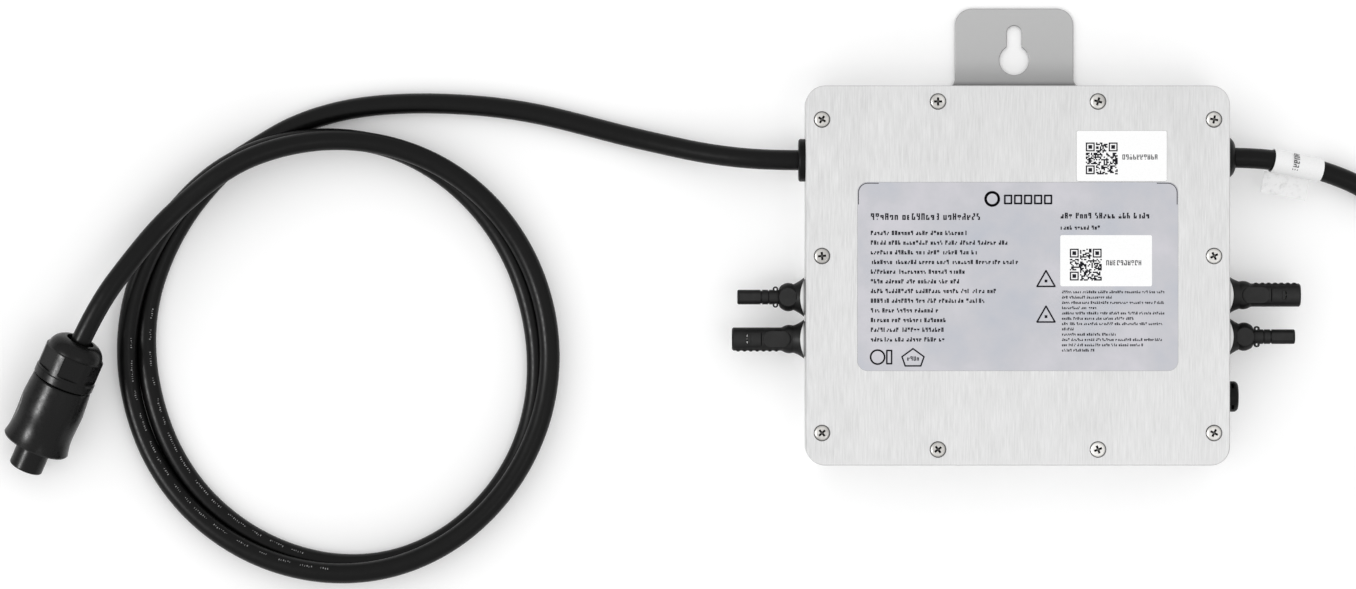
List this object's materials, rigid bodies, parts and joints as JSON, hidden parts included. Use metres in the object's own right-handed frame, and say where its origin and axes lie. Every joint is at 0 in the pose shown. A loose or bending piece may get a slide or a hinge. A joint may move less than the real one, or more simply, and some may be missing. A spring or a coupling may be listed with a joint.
{
  "type": "micro inverter",
  "caption": "Flat aluminium micro inverter with a keyhole hanging bracket, solar input connectors on both sides, a long AC lead in a loose ring and a short AC tail, each with a round plug.",
  "frame": {"origin": "centre of the case's flat back face", "axes": "+X along the width towards the short tail, +Y towards the hanging bracket, +Z out of the lid"},
  "size_m": [0.7416, 0.291, 0.0442],
  "materials": {
    "case_metal": "bead-blasted die casting",
    "lid_metal": "brushed, clear anodised",
    "bracket_metal": "satin sheet",
    "screw_steel": "plated",
    "label_film": "silver film",
    "sticker_white": "matt paper film",
    "gasket_rubber": "matt",
    "gland_black": "moulded nylon",
    "nut_nylon": "moulded nylon",
    "cable_black": "extruded jacket, semi-gloss",
    "plug_nylon": "moulded nylon, semi-gloss",
    "connector_black": "moulded, fine matt grain",
    "contact_metal": "tin plated",
    "seal_grey": "translucent silicone",
    "marker_white": "shrunk sleeve",
    "tag_film": "translucent film",
    "vent_black": "moulded",
    "membrane_white": "porous film",
    "board_green": "solder mask",
    "ferrite": "sintered",
    "winding_tape": "taped winding",
    "capacitor_sleeve": "printed sleeve",
    "film_box": "moulded box",
    "relay_case": "moulded case",
    "spreader_metal": "extruded",
    "chip_black": "moulded",
    "pad_grey": "silicone pad",
    "copper_wire": "enamelled copper",
    "fuse_ceramic": "ceramic body",
    "pillar_brass": "turned",
    "terminal_green": "moulded",
    "wire_insulation": "insulated core"
  },
  "bodies": {
    "case": {"ac_gland_left": "gland_black", "ac_gland_nuts": "nut_nylon", "ac_gland_right": "gland_black", "ac_wires": "wire_insulation", "board_pillars": "pillar_brass", "board_screws": "screw_steel", "bracket_screws": "screw_steel", "bulk_capacitors": "capacitor_sleeve", "cable_marker": "marker_white", "choke_core": "ferrite", "choke_winding": "copper_wire", "control_board": "board_green", "dc_lock_nuts": "nut_nylon", "dc_nose_contacts": "contact_metal", "dc_nose_left": "connector_black", "dc_nose_right": "connector_black", "dc_seals": "seal_grey", "dc_socket_left": "connector_black", "dc_socket_pins": "contact_metal", "dc_socket_right": "connector_black", "dc_wires": "wire_insulation", "film_capacitors": "film_box", "fuse": "fuse_ceramic", "heat_spreader": "spreader_metal", "housing": "case_metal", "lead_coil": "cable_black", "lead_end": "cable_black", "lead_plug_contacts": "contact_metal", "lead_plug_grommet": "gasket_rubber", "lead_plug_shell": "plug_nylon", "lead_plug_stub": "plug_nylon", "lead_run": "cable_black", "lid": "lid_metal", "lid_gasket": "gasket_rubber", "lid_screws": "screw_steel", "main_board": "board_green", "marker_tag": "tag_film", "mounting_bracket": "bracket_metal", "power_transistors": "chip_black", "rating_label": "label_film", "relays": "relay_case", "serial_sticker_lower": "sticker_white", "serial_sticker_upper": "sticker_white", "tail_plug_core": "plug_nylon", "tail_plug_grommet": "gasket_rubber", "tail_plug_pins": "contact_metal", "tail_plug_shell": "plug_nylon", "tail_run": "cable_black", "terminal_blocks": "terminal_green", "thermal_pads": "pad_grey", "transformer_cores": "ferrite", "transformer_windings": "winding_tape", "vent_cap": "vent_black", "vent_membrane": "membrane_white"},
    "latch_left_upper_body": {"latch_left_upper": "connector_black"},
    "latch_left_lower_body": {"latch_left_lower": "connector_black"},
    "latch_right_upper_body": {"latch_right_upper": "connector_black"},
    "latch_right_lower_body": {"latch_right_lower": "connector_black"},
    "lead_plug_nut_body": {"lead_plug_nut": "plug_nylon"},
    "tail_plug_nut_body": {"tail_plug_nut": "plug_nylon"}
  },
  "joints": [
    {"name": "latch_left_upper_flex", "type": "hinge", "parent": "case", "child": "latch_left_upper_body", "pos_m": [-0.1284, -0.0319, 0.0253], "axis": [0, 1, 0], "range_deg": [0, 5], "stiffness_Nm_per_rad": 0.001},
    {"name": "latch_left_lower_flex", "type": "hinge", "parent": "case", "child": "latch_left_lower_body", "pos_m": [-0.1284, -0.0319, 0.0147], "axis": [0, -1, 0], "range_deg": [0, 5], "stiffness_Nm_per_rad": 0.001},
    {"name": "latch_right_upper_flex", "type": "hinge", "parent": "case", "child": "latch_right_upper_body", "pos_m": [0.1284, -0.0098, 0.0253], "axis": [0, -1, 0], "range_deg": [0, 5], "stiffness_Nm_per_rad": 0.001},
    {"name": "latch_right_lower_flex", "type": "hinge", "parent": "case", "child": "latch_right_lower_body", "pos_m": [0.1284, -0.0098, 0.0147], "axis": [0, 1, 0], "range_deg": [0, 5], "stiffness_Nm_per_rad": 0.001},
    {"name": "lead_plug_nut_turn", "type": "hinge", "parent": "case", "child": "lead_plug_nut_body", "pos_m": [-0.47403, -0.04231, 0.02844], "axis": [0.4024, 0.8829, 0.2419], "range_deg": [0, 360]},
    {"name": "tail_plug_nut_turn", "type": "hinge", "parent": "case", "child": "tail_plug_nut_body", "pos_m": [0.2165, -0.094, 0.017], "axis": [0, 1, 0], "range_deg": [0, 360]}
  ]
}
